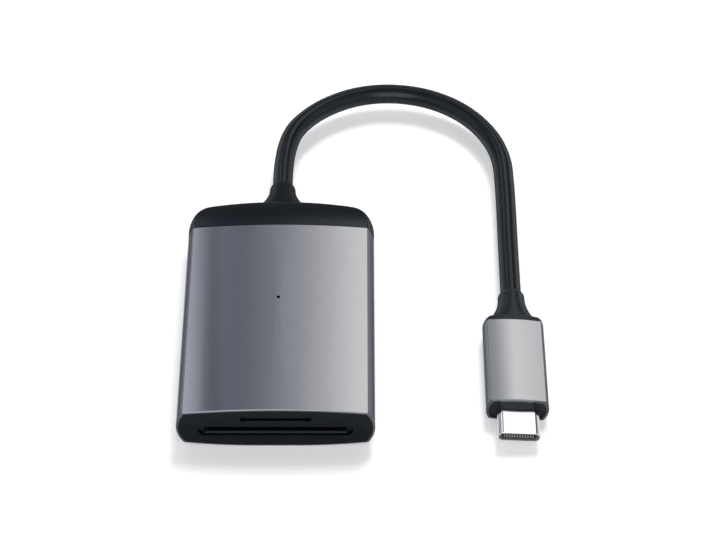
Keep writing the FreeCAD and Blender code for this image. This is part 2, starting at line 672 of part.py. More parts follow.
def large_card_socket():
    housing = block(span(LARGE_SOCKET_WIDTH), (SOCKET_FRONT, LARGE_SOCKET_REAR),
                    (LARGE_CHANNEL_BOTTOM, BOARD_BOTTOM))
    channel = block(span(LARGE_CHANNEL_WIDTH), (SOCKET_FRONT, LARGE_SOCKET_REAR - LARGE_SOCKET_RAIL),
                    (LARGE_CHANNEL_BOTTOM, LARGE_CHANNEL_TOP))
    windows = [leaf_window(x, LARGE_CONTACT_WIDTH, LARGE_CONTACT_REAR, LARGE_CONTACT_LENGTH,
                           (LARGE_CHANNEL_TOP, BOARD_BOTTOM))
               for x in centred_row(LARGE_CONTACT_COUNT, LARGE_CONTACT_PITCH)]
    return housing.cut([channel] + windows)


def large_card_cover():
    outside = block(span(LARGE_SOCKET_WIDTH + 2 * LARGE_COVER_SHEET), (SOCKET_FRONT, LARGE_SOCKET_REAR),
                    (LARGE_CHANNEL_BOTTOM - LARGE_COVER_SHEET, BOARD_BOTTOM))
    return outside.cut(block(span(LARGE_SOCKET_WIDTH), (SOCKET_FRONT, LARGE_SOCKET_REAR),
                             (LARGE_CHANNEL_BOTTOM, BOARD_BOTTOM)))


def large_card_contacts():
    return Part.makeCompound([leaf(x, LARGE_CONTACT_WIDTH, LARGE_CONTACT_REAR, LARGE_CONTACT_LENGTH,
                                   BOARD_BOTTOM, LARGE_CHANNEL_TOP - CONTACT_PRESS, -1)
                              for x in centred_row(LARGE_CONTACT_COUNT, LARGE_CONTACT_PITCH)])


def small_card_socket():
    housing = block(span(SMALL_SOCKET_WIDTH), (SOCKET_FRONT, SMALL_SOCKET_REAR),
                    (BOARD_TOP, SMALL_CHANNEL_TOP))
    channel = block(span(SMALL_CHANNEL_WIDTH), (SOCKET_FRONT, SMALL_SOCKET_REAR - SMALL_SOCKET_RAIL),
                    (SMALL_CHANNEL_BOTTOM, SMALL_CHANNEL_TOP))
    windows = [leaf_window(x, SMALL_CONTACT_WIDTH, SMALL_CONTACT_REAR, SMALL_CONTACT_LENGTH,
                           (BOARD_TOP, SMALL_CHANNEL_BOTTOM))
               for x in centred_row(SMALL_CONTACT_COUNT, SMALL_CONTACT_PITCH)]
    return housing.cut([channel] + windows)


def small_card_cover():
    outside = block(span(SMALL_SOCKET_WIDTH + 2 * SMALL_COVER_SHEET), (SOCKET_FRONT, SMALL_SOCKET_REAR),
                    (BOARD_TOP, SMALL_CHANNEL_TOP + SMALL_COVER_SHEET))
    return outside.cut(block(span(SMALL_SOCKET_WIDTH), (SOCKET_FRONT, SMALL_SOCKET_REAR),
                             (BOARD_TOP, SMALL_CHANNEL_TOP)))


def small_card_contacts():
    return Part.makeCompound([leaf(x, SMALL_CONTACT_WIDTH, SMALL_CONTACT_REAR, SMALL_CONTACT_LENGTH,
                                   BOARD_TOP, SMALL_CHANNEL_BOTTOM + CONTACT_PRESS, 1)
                              for x in centred_row(SMALL_CONTACT_COUNT, SMALL_CONTACT_PITCH)])


def regulator():
    """Small power chip with a row of flat legs on both long sides."""
    body = chip(REGULATOR_PLACE, REGULATOR_SIZE, BOARD_TOP)
    leg_offset = (REGULATOR_SIZE[1] + REGULATOR_LEG_SIZE[1]) / 2
    legs = []
    for x in centred_row(REGULATOR_LEGS_PER_SIDE, REGULATOR_LEG_PITCH):
        for offset in (-leg_offset, leg_offset):
            place = (REGULATOR_PLACE[0] + x, REGULATOR_PLACE[1] + offset)
            legs.append(chip(place, REGULATOR_LEG_SIZE, BOARD_TOP))
    return body.fuse(legs)


def power_inductor():
    core = chip(INDUCTOR_PLACE, INDUCTOR_SIZE, BOARD_TOP)
    upright = [edge for edge in core.Edges if edge.BoundBox.ZLength > INDUCTOR_SIZE[2] / 2]
    return core.makeFillet(INDUCTOR_CORNER, upright)


def light_pipe():
    """Clear post over the light, up to just under the pinhole."""
    top = BODY_HEIGHT - SLEEVE_WALL - LIGHT_PIPE_GAP
    foot = Vector(LED_PLACE[0], LED_PLACE[1], BOARD_TOP)
    post = Part.makeCylinder(LIGHT_PIPE_DIAMETER / 2, top - BOARD_TOP, foot)
    pocket = [size + 2 * LIGHT_PIPE_POCKET_PLAY for size in LED_SIZE]
    return post.cut(chip(LED_PLACE, pocket, BOARD_TOP))


def strand(points):
    """One insulated wire with square-cut bends, drawn with a few flat sides."""
    path = Part.makePolygon(points)
    centre = points[0]
    corners = []
    for side in range(WIRE_SIDES + 1):
        turn = 2 * math.pi * side / WIRE_SIDES
        corners.append(centre + Vector(WIRE_RADIUS * math.cos(turn), 0, WIRE_RADIUS * math.sin(turn)))
    return path.makePipeShell([Part.makePolygon(corners)], True, False, 1)


def conductors(cable_end, cable_level, pad_edge, pads):
    """Wires from a cable's end to (x, level) pads on a board whose edge faces it."""
    starts = [(x, row) for x in centred_row(WIRES_PER_ROW, WIRE_PITCH) for row in (-1, 1)]
    wires = []
    for (x, row), (pad_x, pad_level) in zip(starts, pads):
        level = cable_level + row * WIRE_ROW_GAP / 2
        wires.append(strand([
            Vector(x, cable_end, level),
            Vector(x, cable_end - WIRE_LEAD, level),
            Vector(pad_x, pad_edge + WIRE_RISE, pad_level),
            Vector(pad_x, pad_edge - WIRE_LAP, pad_level),
        ]))
    return Part.makeCompound(wires)


def cable_wires():
    """All wires side by side on top of the main board."""
    level = BOARD_TOP + WIRE_RADIUS + SOLDER_GAP
    pads = [(x, level) for x in centred_row(2 * WIRES_PER_ROW, WIRE_PAD_PITCH)]
    return conductors(CABLE_BODY_END, BODY_MIDDLE, BOARD_REAR, pads)


def plug_wires():
    """One row of wires on each face of the paddle board."""
    level = PADDLE_TOP + WIRE_RADIUS + SOLDER_GAP
    pads = [(x, row * level) for x in centred_row(WIRES_PER_ROW, WIRE_PAD_PITCH) for row in (-1, 1)]
    return conductors(CABLE_PLUG_END, 0, PADDLE_REAR, pads)


def plug_sleeve():
    outside = soften_sleeve(plug_length(0, PLUG_FRONT, PLUG_REAR), PLUG_WIDTH / 2 - PLUG_BULGE,
                            PLUG_EDGE_RADIUS, PLUG_CHAMFER)
    return outside.cut(plug_length(PLUG_WALL, PLUG_FRONT, PLUG_REAR))


def plug_nose():
    face = PLUG_FRONT + NOSE_RECESS
    back = PLUG_FRONT + NOSE_THICKNESS
    return plug_length(PLUG_WALL, face, back).cut(stadium(SHELL_WIDTH, SHELL_HEIGHT, 0, face, back))


def plug_boot():
    collar_rear = PLUG_REAR + COLLAR_LENGTH
    spigot_end = PLUG_REAR - COLLAR_SPIGOT
    collar = end_cap(PLUG_WIDTH / 2, PLUG_HEIGHT / 2, PLUG_CROWN, PLUG_BULGE, 0, 0, PLUG_REAR, collar_rear,
                     COLLAR_CORNER_RADIUS, COLLAR_ARCH_RADIUS, COLLAR_ROLL_RADIUS, PLUG_EDGE_RADIUS)
    horn = trumpet(0, PLUG_BOOT_BASE, PLUG_BOOT_LENGTH, PLUG_BOOT_BASE_HEIGHT, PLUG_BOOT_FLARE,
                   PLUG_BOOT_FLARE_POWER)
    spigot = plug_length(PLUG_WALL, spigot_end, PLUG_REAR)
    return collar.fuse([horn, spigot]).cut(rod(CABLE_RADIUS, 0, spigot_end, PLUG_BOOT_END))


def plug_shell():
    """Drawn steel tube with its front edge rounded over."""
    end = PLUG_FRONT + SHELL_ROOT
    drawn = stadium(SHELL_WIDTH, SHELL_HEIGHT, 0, SHELL_TIP, end)
    tip_edges = [edge for edge in drawn.Edges if edge.BoundBox.YMax < SHELL_TIP + SHELL_SHEET]
    drawn = drawn.makeFillet(SHELL_TIP_RADIUS, tip_edges)
    bore = stadium(SHELL_WIDTH - 2 * SHELL_SHEET, SHELL_HEIGHT - 2 * SHELL_SHEET, 0, SHELL_TIP, end)
    return drawn.cut(bore)


def contact_strips():
    """Contact strips of the plug, one row under the roof of its cavity and one over the floor."""
    depth = (INSULATOR_FRONT + PLUG_CONTACT_SET_BACK, INSULATOR_REAR + PLUG_CONTACT_TAIL)
    strips = []
    for x in centred_row(PLUG_CONTACTS_PER_ROW, PLUG_CONTACT_PITCH):
        across = span(PLUG_CONTACT_WIDTH, x)
        strips.append(block(across, depth, (PADDLE_TOP, PADDLE_TOP + PLUG_CONTACT_SHEET)))
        strips.append(block(across, depth, (-PADDLE_TOP - PLUG_CONTACT_SHEET, -PADDLE_TOP)))
    return strips


def plug_insulator():
    """Moulded block with the cavity for the socket's tongue and a channel for each strip to spring into."""
    moulding = stadium(SHELL_WIDTH - 2 * SHELL_SHEET, SHELL_HEIGHT - 2 * SHELL_SHEET, 0,
                       INSULATOR_FRONT, INSULATOR_REAR)
    depth = (INSULATOR_FRONT, CAVITY_END)
    openings = [block(span(CAVITY_WIDTH), depth, span(CAVITY_HEIGHT))]
    for x in centred_row(PLUG_CONTACTS_PER_ROW, PLUG_CONTACT_PITCH):
        across = span(PLUG_CONTACT_WIDTH + 2 * CHANNEL_PLAY, x)
        openings.append(block(across, depth, span(CAVITY_HEIGHT + 2 * CHANNEL_DEPTH)))
    return moulding.cut(openings + contact_strips())


def plug_latches():
    """Side springs of the plug: flat along the cavity's side walls, with a bump that holds the socket."""
    wall = CAVITY_WIDTH / 2
    inner = wall - LATCH_SHEET
    front = INSULATOR_FRONT + LATCH_SET_BACK
    bump = front + LATCH_BUMP_LENGTH
    outline = [(wall, front), (wall, CAVITY_END), (inner, CAVITY_END), (inner, bump),
               (inner - LATCH_BUMP, (front + bump) / 2), (inner, front)]
    springs = []
    for side in (-1, 1):
        points = [Vector(side * x, y, -LATCH_HEIGHT / 2) for x, y in outline]
        springs.append(Part.Face(Part.makePolygon(points + points[:1])).extrude(Vector(0, 0, LATCH_HEIGHT)))
    return Part.makeCompound(springs)


def paddle_board():
    return block(span(PADDLE_WIDTH), (PADDLE_FRONT, PADDLE_REAR), span(PADDLE_THICKNESS))


def free_cable():
    """Free stretch of the cable, from one strain relief to the other."""
    path, radii = rounded_path(CABLE_ROUTE)
    cable = tube(path, CABLE_RADIUS)
    plain_volume = math.pi * CABLE_RADIUS ** 2 * path.Length
    print("cable length", round(path.Length, 1))
    print("cable bend radii", [round(radius, 1) for radius in radii])
    print("cable volume over section times length", round(cable.Volume / plain_volume, 4))
    return cable


def pieces():
    """Every piece of the reader, by name."""
    capacitors = [chip(place, CAPACITOR_SIZE, BOARD_TOP) for place in CAPACITOR_PLACES]
    resistors = [chip(place, RESISTOR_SIZE, BOARD_TOP) for place in RESISTOR_PLACES]
    paddle_row = PADDLE_FRONT + PADDLE_CHIP_INSET
    paddle_capacitors = [chip((x, paddle_row), CAPACITOR_SIZE, PADDLE_TOP)
                         for x in span(PADDLE_CAPACITOR_PITCH)]
    return {
        "body_sleeve": body_sleeve(),
        "front_bezel": front_bezel(),
        "rear_cap": rear_cap(),
        "main_board": main_board(),
        "large_card_socket": large_card_socket(),
        "large_card_cover": large_card_cover(),
        "large_card_contacts": large_card_contacts(),
        "small_card_socket": small_card_socket(),
        "small_card_cover": small_card_cover(),
        "small_card_contacts": small_card_contacts(),
        "controller_chip": chip(CONTROLLER_PLACE, CONTROLLER_SIZE, BOARD_TOP),
        "flash_chip": chip(FLASH_PLACE, FLASH_SIZE, BOARD_TOP),
        "regulator": regulator(),
        "power_inductor": power_inductor(),
        "crystal": chip(CRYSTAL_PLACE, CRYSTAL_SIZE, BOARD_TOP),
        "chip_capacitors": Part.makeCompound(capacitors),
        "chip_resistors": Part.makeCompound(resistors),
        "status_led": chip(LED_PLACE, LED_SIZE, BOARD_TOP),
        "light_pipe": light_pipe(),
        "cable_boot": cable_boot(),
        "cable_body_end": rod(CABLE_RADIUS, BODY_MIDDLE, CABLE_BODY_END, BODY_BOOT_END),
        "cable_wires": cable_wires(),
        "cable": free_cable(),
        "cable_plug_end": on_plug(rod(CABLE_RADIUS, 0, CABLE_PLUG_END, PLUG_BOOT_END)),
        "plug_sleeve": on_plug(plug_sleeve()),
        "plug_nose": on_plug(plug_nose()),
        "plug_boot": on_plug(plug_boot()),
        "plug_shell": on_plug(plug_shell()),
        "plug_insulator": on_plug(plug_insulator()),
        "plug_contacts": on_plug(Part.makeCompound(contact_strips())),
        "plug_latches": on_plug(plug_latches()),
        "paddle_board": on_plug(paddle_board()),
        "paddle_chip": on_plug(chip((0, paddle_row), PADDLE_CHIP_SIZE, PADDLE_TOP)),
        "paddle_capacitors": on_plug(Part.makeCompound(paddle_capacitors)),
        "plug_wires": on_plug(plug_wires()),
    }


os.makedirs("parts", exist_ok=True)
for name, shape in pieces().items():
    shape.exportStep("parts/" + name + ".step")
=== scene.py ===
import math

import bmesh
import bpy
from mathutils import Matrix, Vector


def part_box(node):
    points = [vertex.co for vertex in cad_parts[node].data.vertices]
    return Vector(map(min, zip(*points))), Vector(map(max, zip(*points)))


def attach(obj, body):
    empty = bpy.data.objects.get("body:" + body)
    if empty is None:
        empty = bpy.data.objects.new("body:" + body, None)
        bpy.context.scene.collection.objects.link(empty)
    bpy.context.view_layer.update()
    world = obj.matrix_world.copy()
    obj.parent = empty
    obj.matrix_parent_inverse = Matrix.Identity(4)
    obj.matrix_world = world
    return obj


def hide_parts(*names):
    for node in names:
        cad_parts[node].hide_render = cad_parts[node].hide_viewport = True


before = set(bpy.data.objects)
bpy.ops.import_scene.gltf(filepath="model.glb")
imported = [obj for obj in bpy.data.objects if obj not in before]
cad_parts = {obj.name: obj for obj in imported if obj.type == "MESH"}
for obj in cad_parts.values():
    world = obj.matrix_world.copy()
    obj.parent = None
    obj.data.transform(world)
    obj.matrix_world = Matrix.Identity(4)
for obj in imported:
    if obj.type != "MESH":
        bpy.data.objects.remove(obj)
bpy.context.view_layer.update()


# Main board: a thin sheet of glass-fibre laminate under dark green solder mask, as the plug's small board
# is. It slides into the ledges inside the sleeve and carries both card sockets.
def add_node(tree, kind, **settings):
    """New node with its settings and the fixed values of its sockets."""
    node = tree.nodes.new(kind)
    for key, value in settings.items():
        if key == "sockets":
            for socket, constant in value.items():
                node.inputs[socket].default_value = constant
        else:
            setattr(node, key, value)
    return node


def group_with(name, inputs, outputs):
    """Empty shader node group with its named sockets, and the nodes at its two ends."""
    tree = bpy.data.node_groups.new(name, "ShaderNodeTree")
    for socket, kind in inputs:
        tree.interface.new_socket(socket, in_out="INPUT", socket_type="NodeSocket" + kind)
    for socket, kind in outputs:
        tree.interface.new_socket(socket, in_out="OUTPUT", socket_type="NodeSocket" + kind)
    return tree, tree.nodes.new("NodeGroupInput"), tree.nodes.new("NodeGroupOutput")


def make_worked_skin():
    """Surface that varies a little: broad patches of tone, and a fine grain in gloss and height."""
    tree, given, result = group_with(
        "worked_skin",
        [("Stretch", "Vector"), ("Grain", "Float"), ("Patch", "Float"), ("Dark", "Color"),
         ("Light", "Color"), ("Smooth", "Float"), ("Rough", "Float")],
        [("Colour", "Color"), ("Roughness", "Float"), ("Height", "Float")])
    place = add_node(tree, "ShaderNodeTexCoord")
    stretched = add_node(tree, "ShaderNodeVectorMath", operation="MULTIPLY")
    grain = add_node(tree, "ShaderNodeTexNoise", sockets={"Detail": 4.0, "Roughness": 0.6})
    patch = add_node(tree, "ShaderNodeTexNoise", sockets={"Detail": 2.0, "Roughness": 0.5})
    both = add_node(tree, "ShaderNodeMix", data_type="FLOAT", sockets={"Factor": 0.45})
    tone = add_node(tree, "ShaderNodeMix", data_type="RGBA")
    gloss = add_node(tree, "ShaderNodeMapRange", sockets={"From Min": 0.3, "From Max": 0.7})
    link = tree.links.new
    link(place.outputs["Object"], stretched.inputs[0])
    link(given.outputs["Stretch"], stretched.inputs[1])
    link(stretched.outputs["Vector"], grain.inputs["Vector"])
    link(stretched.outputs["Vector"], patch.inputs["Vector"])
    link(given.outputs["Grain"], grain.inputs["Scale"])
    link(given.outputs["Patch"], patch.inputs["Scale"])
    link(patch.outputs["Fac"], both.inputs["A"])
    link(grain.outputs["Fac"], both.inputs["B"])
    link(both.outputs["Result"], tone.inputs["Factor"])
    link(given.outputs["Dark"], tone.inputs["A"])
    link(given.outputs["Light"], tone.inputs["B"])
    link(grain.outputs["Fac"], gloss.inputs["Value"])
    link(given.outputs["Smooth"], gloss.inputs["To Min"])
    link(given.outputs["Rough"], gloss.inputs["To Max"])
    link(tone.outputs["Result"], result.inputs["Colour"])
    link(gloss.outputs["Result"], result.inputs["Roughness"])
    link(grain.outputs["Fac"], result.inputs["Height"])
    return tree


WORKED_SKIN = make_worked_skin()


def finish(name, dark, light, smooth, rough, grain, patch, depth,
           metallic=0.0, stretch=(1.0, 1.0, 1.0), shine=0.5, tint=(1.0, 1.0, 1.0)):
    """Material with the worked skin between two tones and between two roughnesses.

    Grain and patches are given per metre, and the grain's depth in metres. On metal the tint is what is
    left of the reflection at a grazing angle, and elsewhere it colours the gloss.
    """
    material = bpy.data.materials.new(name)
    material.use_nodes = True
    tree = material.node_tree
    shader = tree.nodes["Principled BSDF"]
    shader.inputs["Metallic"].default_value = metallic
    shader.inputs["Specular IOR Level"].default_value = shine
    shader.inputs["Specular Tint"].default_value = tint + (1.0,)
    skin_values = {"Stretch": stretch, "Grain": grain, "Patch": patch, "Dark": dark + (1.0,),
                   "Light": light + (1.0,), "Smooth": smooth, "Rough": rough}
    skin = add_node(tree, "ShaderNodeGroup", name="skin", node_tree=WORKED_SKIN, sockets=skin_values)
    relief = add_node(tree, "ShaderNodeBump", sockets={"Strength": 1.0, "Distance": depth})
    link = tree.links.new
    link(skin.outputs["Colour"], shader.inputs["Base Color"])
    link(skin.outputs["Roughness"], shader.inputs["Roughness"])
    link(skin.outputs["Height"], relief.inputs["Height"])
    link(relief.outputs["Normal"], shader.inputs["Normal"])
    return material


def dress(material, *nodes):
    """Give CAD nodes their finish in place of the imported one."""
    for name in nodes:
        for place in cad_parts[name].material_slots:
            place.material = material


board_laminate = finish("board_laminate", dark=(0.004, 0.030, 0.014), light=(0.008, 0.052, 0.024),
                        smooth=0.28, rough=0.42, grain=9000.0, patch=260.0, depth=2e-6)
dress(board_laminate, "main_board", "paddle_board")


# Card sockets: black heat-proof mouldings soldered to the two faces of the board, each closed by a cover
# folded from thin rolled steel, with gold-plated leaf springs that press on the card's pads.
socket_plastic = finish("socket_plastic", dark=(0.006, 0.006, 0.007), light=(0.012, 0.012, 0.013),
                        smooth=0.40, rough=0.55, grain=7000.0, patch=300.0, depth=2e-6)
dress(socket_plastic, "large_card_socket", "small_card_socket")
cover_steel = finish("cover_steel", dark=(0.44, 0.44, 0.45), light=(0.56, 0.56, 0.57),
                     smooth=0.24, rough=0.38, grain=2500.0, patch=180.0, depth=1e-6,
                     metallic=1.0, stretch=(1.0, 14.0, 14.0))
dress(cover_steel, "large_card_cover", "small_card_cover", "plug_latches")
contact_metal = finish("contact_metal", dark=(0.74, 0.50, 0.20), light=(0.86, 0.62, 0.28),
                       smooth=0.18, rough=0.32, grain=9000.0, patch=600.0, depth=1e-6, metallic=1.0)
dress(contact_metal, "large_card_contacts", "small_card_contacts")


# Chips and small parts on the board: black moulded epoxy packages, a bright crystal can, tan ceramic
# capacitors and dark resistors, all soldered flat to the board's pads.
chip_black = finish("chip_black", dark=(0.010, 0.010, 0.011), light=(0.020, 0.020, 0.021),
                    smooth=0.48, rough=0.66, grain=16000.0, patch=900.0, depth=3e-6)
dress(chip_black, "controller_chip", "flash_chip", "regulator", "power_inductor", "paddle_chip")
crystal_can = finish("crystal_can", dark=(0.60, 0.60, 0.58), light=(0.72, 0.72, 0.70),
                     smooth=0.16, rough=0.30, grain=9000.0, patch=700.0, depth=1e-6, metallic=1.0)
dress(crystal_can, "crystal")
capacitor_ceramic = finish("capacitor_ceramic", dark=(0.30, 0.20, 0.12), light=(0.42, 0.30, 0.19),
                           smooth=0.42, rough=0.58, grain=12000.0, patch=900.0, depth=2e-6)
dress(capacitor_ceramic, "chip_capacitors", "paddle_capacitors")
resistor_ceramic = finish("resistor_ceramic", dark=(0.020, 0.020, 0.024), light=(0.040, 0.040, 0.046),
                          smooth=0.30, rough=0.46, grain=12000.0, patch=900.0, depth=2e-6)
dress(resistor_ceramic, "chip_resistors")


# Status light: a small diode in a pale moulding, and over it a clear acrylic post that carries its light
# up to the pinhole in the sleeve.
light_body = finish("light_body", dark=(0.62, 0.60, 0.50), light=(0.76, 0.74, 0.64),
                    smooth=0.30, rough=0.45, grain=9000.0, patch=900.0, depth=1e-6)
dress(light_body, "status_led")
clear_post = finish("clear_post", dark=(0.90, 0.92, 0.92), light=(0.96, 0.97, 0.97),
                    smooth=0.04, rough=0.12, grain=6000.0, patch=500.0, depth=1e-6)
clear_post_shader = clear_post.node_tree.nodes["Principled BSDF"]
clear_post_shader.inputs["Transmission Weight"].default_value = 1.0
clear_post_shader.inputs["IOR"].default_value = 1.49
dress(clear_post, "light_pipe")


# Sleeve of the body: an extruded aluminium tube, bead-blasted and anodised grey. Its two ends are cut
# square and chamfered, and the cut faces and chamfers are painted darker: painted shade that dims the
# reflection there.
SLEEVE_CHAMFER_DEPTH = 0.00016
SLEEVE_CUT_PAINTED_SHADE = (0.110, 0.113, 0.123)


def make_cut_ends():
    """Mask of the faces that lie within a depth of either of two places along Y."""
    tree, given, result = group_with(
        "cut_ends",
        [("Front", "Float"), ("Rear", "Float"), ("Depth", "Float")],
        [("Mask", "Float")])
    place = add_node(tree, "ShaderNodeTexCoord")
    axes = add_node(tree, "ShaderNodeSeparateXYZ")
    link = tree.links.new
    link(place.outputs["Object"], axes.inputs["Vector"])
    ends = []
    for end in ("Front", "Rear"):
        at_end = add_node(tree, "ShaderNodeMath", operation="COMPARE")
        link(axes.outputs["Y"], at_end.inputs[0])
        link(given.outputs[end], at_end.inputs[1])
        link(given.outputs["Depth"], at_end.inputs[2])
        ends.append(at_end)
    either = add_node(tree, "ShaderNodeMath", operation="MAXIMUM")
    link(ends[0].outputs["Value"], either.inputs[0])
    link(ends[1].outputs["Value"], either.inputs[1])
    link(either.outputs["Value"], result.inputs["Mask"])
    return tree


CUT_ENDS = make_cut_ends()


def anodised(name, node, chamfer_depth, cut_painted_shade):
    """Grey anodised aluminium, with painted shade on the cut faces and chamfers at a node's two ends."""
    material = finish(name, dark=(0.245, 0.246, 0.257), light=(0.274, 0.276, 0.287),
                      smooth=0.10, rough=0.14, grain=5200.0, patch=420.0, depth=3e-7,
                      metallic=1.0, tint=(0.25, 0.257, 0.275))
    tree = material.node_tree
    low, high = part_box(node)
    ends = add_node(tree, "ShaderNodeGroup", node_tree=CUT_ENDS,
                    sockets={"Front": low[1], "Rear": high[1], "Depth": chamfer_depth})
    tone = add_node(tree, "ShaderNodeMix", data_type="RGBA")
    tone.inputs["B"].default_value = cut_painted_shade + (1.0,)
    link = tree.links.new
    link(ends.outputs["Mask"], tone.inputs["Factor"])
    link(tree.nodes["skin"].outputs["Colour"], tone.inputs["A"])
    link(tone.outputs["Result"], tree.nodes["Principled BSDF"].inputs["Base Color"])
    return material


body_anodising = anodised("body_anodising", "body_sleeve", SLEEVE_CHAMFER_DEPTH, SLEEVE_CUT_PAINTED_SHADE)
dress(body_anodising, "body_sleeve")


# Bezel and rear cap: black moulded plastic with a fine satin texture, pushed into the two ends of the
# sleeve. The bezel has the two card slots, the cap the hole for the strain relief.
INK_GLOSS = (0.72, 0.85, 1.0)


def matte_edge(material, edge_rough):
    """Let the gloss of a textured moulding die away where it turns from the eye."""
    tree = material.node_tree
    turn = add_node(tree, "ShaderNodeLayerWeight", sockets={"Blend": 0.5})
    soften = add_node(tree, "ShaderNodeMapRange", sockets={"From Min": 0.45, "From Max": 0.85})
    gloss = add_node(tree, "ShaderNodeMix", data_type="FLOAT", sockets={"B": edge_rough})
    link = tree.links.new
    link(turn.outputs["Facing"], soften.inputs["Value"])
    link(soften.outputs["Result"], gloss.inputs["Factor"])
    link(tree.nodes["skin"].outputs["Roughness"], gloss.inputs["A"])
    link(gloss.outputs["Result"], tree.nodes["Principled BSDF"].inputs["Roughness"])


def black_moulding(name, smooth, rough, edge_rough, shine):
    """Black plastic or rubber with an inky gloss, rougher where it turns from the eye."""
    material = finish(name, dark=(0.0024, 0.0034, 0.0048), light=(0.0038, 0.0050, 0.0068),
                      smooth=smooth, rough=rough, grain=8000.0, patch=350.0, depth=1.2e-6,
                      shine=shine, tint=INK_GLOSS)
    matte_edge(material, edge_rough)
    return material


bezel_plastic = black_moulding("bezel_plastic", smooth=0.18, rough=0.26, edge_rough=0.90, shine=0.10)
dress(bezel_plastic, "front_bezel")
cap_plastic = black_moulding("cap_plastic", smooth=0.18, rough=0.26, edge_rough=0.90, shine=0.31)
dress(cap_plastic, "rear_cap")


# Strain reliefs: soft black rubber moulded round the cable, one held in the rear cap by a flange inside it
# and one that closes the rear of the plug.
body_relief = black_moulding("body_relief_rubber", smooth=0.30, rough=0.38, edge_rough=0.95, shine=0.165)
dress(body_relief, "cable_boot")
plug_relief = black_moulding("plug_relief_rubber", smooth=0.30, rough=0.38, edge_rough=0.95, shine=0.37)
dress(plug_relief, "plug_boot")


# Cable: round, with a smooth black jacket over its conductors. It leaves the body, makes one half circle
# and comes back beside the body to the plug, stiff enough to hold its curve.
CABLE_DIAMETER = 0.00415
CABLE_ROUTE = [
    (0.0, 0.035935, 0.0054),
    (-0.0003, 0.0496, 0.0054),
    (0.0061, 0.0598, 0.0051),
    (0.0168, 0.0659, 0.0048),
    (0.0291, 0.0657, 0.0046),
    (0.0396, 0.0597, 0.0044),
    (0.0462, 0.0490, 0.0041),
    (0.0466, 0.0358, 0.0036),
    (0.0465, 0.0222, 0.003161),
    (0.0465, 0.00755, 0.003161),
]
cable_curve = bpy.data.curves.new("cable_line", "CURVE")
cable_curve.dimensions = "3D"
cable_line = cable_curve.splines.new("NURBS")
cable_line.points.add(len(CABLE_ROUTE) - 1)
for point, place in zip(cable_line.points, CABLE_ROUTE):
    point.co = place + (1.0,)
cable_line.order_u = 3
cable_line.use_endpoint_u = True
cable_line.resolution_u = 16
cable_curve.bevel_depth = CABLE_DIAMETER / 2
cable_curve.bevel_resolution = 10
cable_curve.use_fill_caps = True
cable = bpy.data.objects.new("cable_free", cable_curve)
bpy.context.collection.objects.link(cable)
cable_jacket = finish("cable_jacket", dark=(0.0018, 0.0024, 0.0032), light=(0.0028, 0.0035, 0.0044),
                      smooth=0.21, rough=0.28, grain=6000.0, patch=400.0, depth=4e-7,
                      shine=0.285, tint=INK_GLOSS)
matte_edge(cable_jacket, edge_rough=0.95)
cable_curve.materials.append(cable_jacket)
dress(cable_jacket, "cable_body_end", "cable_plug_end")
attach(cable, "root")
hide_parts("cable")


# Conductors: eight thin insulated wires at each end of the cable, soldered to the board in the body and to
# the small board in the plug.
wire_insulation = finish("wire_insulation", dark=(0.42, 0.41, 0.39), light=(0.58, 0.57, 0.54),
                         smooth=0.36, rough=0.50, grain=6000.0, patch=500.0, depth=1e-6)
dress(wire_insulation, "cable_wires", "plug_wires")


# Plug: a small anodised sleeve like the body's, and the bright shell that goes into the socket, drawn from
# steel sheet and polished. In it are two rows of plated contact strips in a dark grey moulding.
# The plug sleeve's cut faces and chamfers are painted darker in the same way: painted shade that dims their
# reflection.
PLUG_CHAMFER_DEPTH = 0.00020
PLUG_CUT_PAINTED_SHADE = (0.085, 0.090, 0.105)
plug_anodising = anodised("plug_anodising", "plug_sleeve", PLUG_CHAMFER_DEPTH, PLUG_CUT_PAINTED_SHADE)
dress(plug_anodising, "plug_sleeve")
bright_steel = finish("bright_steel", dark=(0.54, 0.54, 0.55), light=(0.62, 0.62, 0.63),
                      smooth=0.06, rough=0.12, grain=5000.0, patch=500.0, depth=4e-7,
                      metallic=1.0, stretch=(6.0, 1.0, 6.0))
dress(bright_steel, "plug_shell")
plug_moulding = finish("plug_moulding", dark=(0.090, 0.090, 0.094), light=(0.130, 0.130, 0.135),
                       smooth=0.40, rough=0.55, grain=9000.0, patch=600.0, depth=1e-6)
dress(plug_moulding, "plug_insulator")
plug_plating = finish("plug_plating", dark=(0.80, 0.78, 0.74), light=(0.90, 0.89, 0.86),
                      smooth=0.40, rough=0.52, grain=9000.0, patch=900.0, depth=1e-6, metallic=0.3)
dress(plug_plating, "plug_contacts")
# The nose is painted paler than the other black mouldings: painted light on its recessed face, which gets
# little light.
plug_face_painted_light = finish("plug_face_painted_light", dark=(0.008, 0.0085, 0.011), light=(0.013, 0.0135, 0.017),
                   smooth=0.30, rough=0.42, grain=9000.0, patch=500.0, depth=1.5e-6,
                   shine=0.15, tint=INK_GLOSS)
dress(plug_face_painted_light, "plug_nose")


# Lights: four soft boxes of a plain studio, aimed at the reader. Two behind have a graded face, which the
# sleeves mirror, one overhead casts the shadow, and one in front shows only in gloss.
LIGHTS_AIM = Vector((0.018, 0.010, 0.0))
REAR_RIGHT_TONES = [
    (0.0, (0.116, 0.123, 0.160)),
    (0.12, (0.128, 0.135, 0.172)),
    (0.28, (0.310, 0.320, 0.350)),
    (0.42, (0.570, 0.578, 0.590)),
    (0.55, (0.900, 0.900, 0.872)),
    (1.0, (0.715, 0.715, 0.706)),
]
REAR_LEFT_TONES = [
    (0.0, (0.86, 0.91, 1.04)),
    (0.80, (0.86, 0.91, 1.04)),
    (0.845, (0.13, 0.14, 0.17)),
    (1.0, (0.06, 0.065, 0.09)),
]


